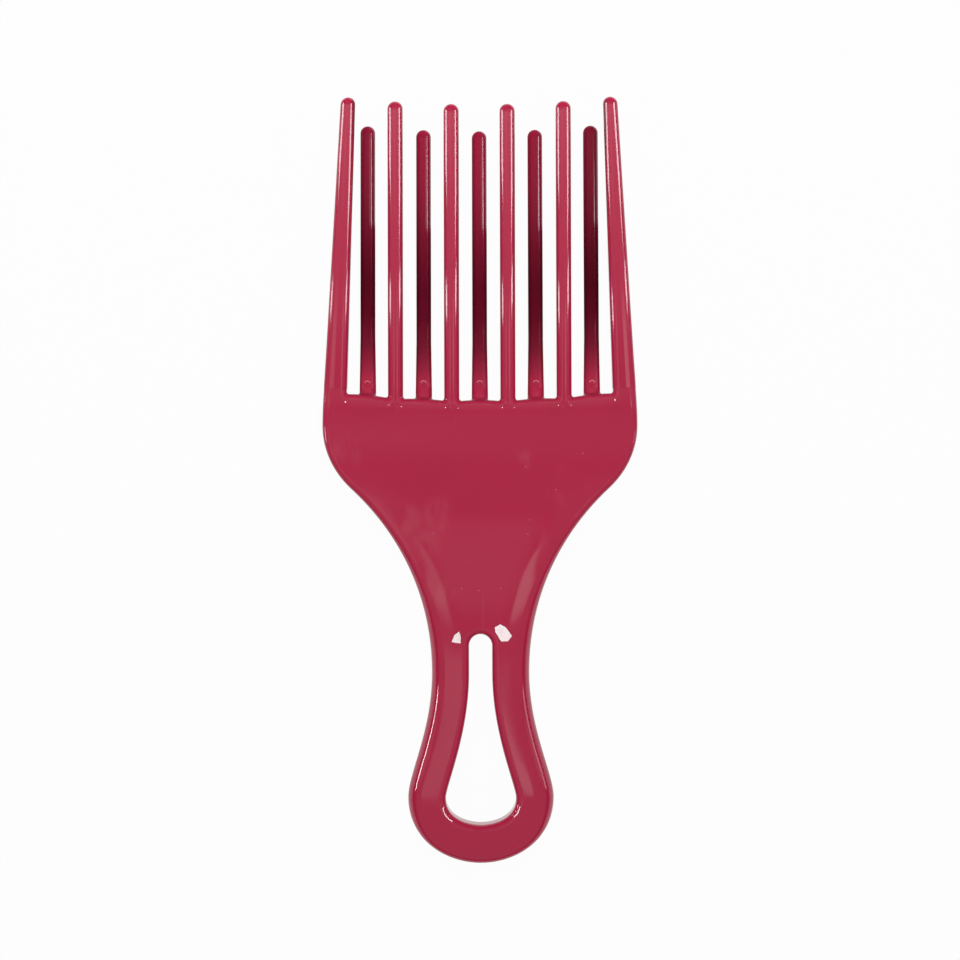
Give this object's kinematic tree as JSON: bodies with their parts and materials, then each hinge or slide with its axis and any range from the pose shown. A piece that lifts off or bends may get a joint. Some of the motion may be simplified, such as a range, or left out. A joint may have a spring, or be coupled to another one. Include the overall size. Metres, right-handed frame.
{
  "type": "volumizing comb",
  "caption": "Volumizing comb: a fan-shaped plate on a looped handle with a finger hole, and a row of long teeth with a shorter, offset row behind it.",
  "frame": {"origin": "on the surface that the comb lies on, under the middle of its box", "axes": "+X to the comb's right seen from the front, +Y along the comb towards the tips of the teeth, +Z out of its front face"},
  "size_m": [0.07, 0.17, 0.0072],
  "materials": {
    "cranberry_plastic": "glossy deep cranberry moulded plastic"
  },
  "bodies": {
    "root": {"body": "cranberry_plastic", "front_tooth_1": "cranberry_plastic", "front_tooth_2": "cranberry_plastic", "front_tooth_3": "cranberry_plastic", "front_tooth_4": "cranberry_plastic", "front_tooth_5": "cranberry_plastic", "front_tooth_6": "cranberry_plastic", "back_tooth_1": "cranberry_plastic", "back_tooth_2": "cranberry_plastic", "back_tooth_3": "cranberry_plastic", "back_tooth_4": "cranberry_plastic", "back_tooth_5": "cranberry_plastic"}
  },
  "joints": []
}
